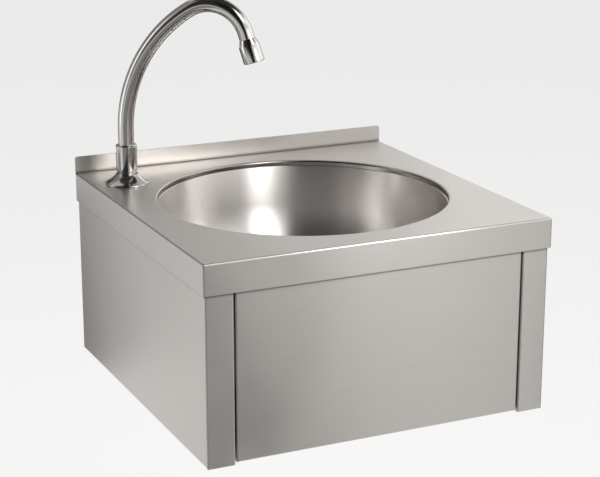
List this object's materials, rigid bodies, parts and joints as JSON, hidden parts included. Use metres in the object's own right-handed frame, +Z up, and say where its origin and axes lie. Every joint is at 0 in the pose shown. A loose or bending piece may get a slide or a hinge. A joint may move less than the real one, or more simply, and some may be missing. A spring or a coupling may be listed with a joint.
{
  "type": "knee operated wall hung wash sink",
  "caption": "Square wall hung stainless wash sink with a round bowl, a low rear upstand, a swivel swan-neck tap and a front panel that the knee pushes to work a spring-return mixing valve.",
  "frame": {"origin": "middle of the back face, on the wall plane, level with the top of the worktop", "axes": "+X to the right seen from the front, +Y into the wall, +Z up; the sink stands out towards -Y"},
  "size_m": [0.4, 0.4, 0.4379],
  "materials": {
    "stainless_sheet": "brushed along the width, satin",
    "stainless_bowl": "satin polished, spun round the bowl",
    "stainless_inner": "mill finish",
    "steel_fastener": "plain bright",
    "chrome": "polished",
    "brass": "cast and machined",
    "rubber": "moulded",
    "nylon": "moulded",
    "waste_plastic": "moulded",
    "braided_hose": "steel wire braid over rubber"
  },
  "bodies": {
    "root": {"worktop": "stainless_sheet", "bowl": "stainless_bowl", "left_side_panel": "stainless_sheet", "right_side_panel": "stainless_sheet", "upper_wall_rail": "stainless_inner", "lower_wall_rail": "stainless_inner", "valve_rail": "stainless_inner", "rail_screws": "steel_fastener", "rail_nuts": "steel_fastener", "pivot_screw_left": "steel_fastener", "pivot_screw_right": "steel_fastener", "pivot_nut_left": "steel_fastener", "pivot_nut_right": "steel_fastener", "valve_body": "brass", "valve_locknut": "brass", "valve_gland": "brass", "valve_spring": "steel_fastener", "check_valves": "nylon", "inlet_filters": "nylon", "union_nuts": "brass", "hose_ferrules": "brass", "spout_hose": "braided_hose", "tap_flange": "chrome", "tap_gasket": "rubber", "tap_collar": "chrome", "tap_shank": "brass", "tap_clamp_washer": "steel_fastener", "tap_backnut": "brass", "waste_strainer": "stainless_inner", "waste_screw": "stainless_inner", "waste_gasket_upper": "rubber", "waste_gasket_lower": "rubber", "waste_body": "waste_plastic"},
    "knee_panel": {"front_panel": "stainless_sheet", "panel_stiffener": "stainless_inner", "strike_pad": "rubber", "stop_buffers": "rubber", "pivot_bush_left": "nylon", "pivot_bush_right": "nylon"},
    "plunger": {"valve_plunger": "brass", "plunger_seal": "rubber"},
    "spout": {"spout_tube": "chrome", "spout_seals": "rubber", "spout_clip": "steel_fastener", "aerator_housing": "chrome", "aerator_washer": "rubber", "aerator_insert": "nylon"},
    "spindle": {"mixing_spindle": "brass"}
  },
  "joints": [
    {"name": "knee_push", "type": "hinge", "parent": "root", "child": "knee_panel", "pos_m": [0, -0.387, -0.022], "axis": [1, 0, 0], "range_deg": [0, 4], "stiffness_Nm_per_rad": 12, "springref_deg": -9.74},
    {"name": "plunger_slide", "type": "slide", "parent": "root", "child": "plunger", "axis": [0, 1, 0], "range_m": [0, 0.0108], "deforming": ["valve_spring"]},
    {"name": "spout_swivel", "type": "hinge", "parent": "root", "child": "spout", "pos_m": [-0.16, -0.069, 0], "axis": [0, 0, 1], "range_deg": [-160, 60]},
    {"name": "mixing_turn", "type": "hinge", "parent": "root", "child": "spindle", "pos_m": [-0.055, -0.3, -0.175], "axis": [1, 0, 0], "range_deg": [-90, 90]}
  ],
  "couplings": [
    {"joint": "plunger_slide", "follows": "knee_push", "m_per_rad": 0.153}
  ]
}
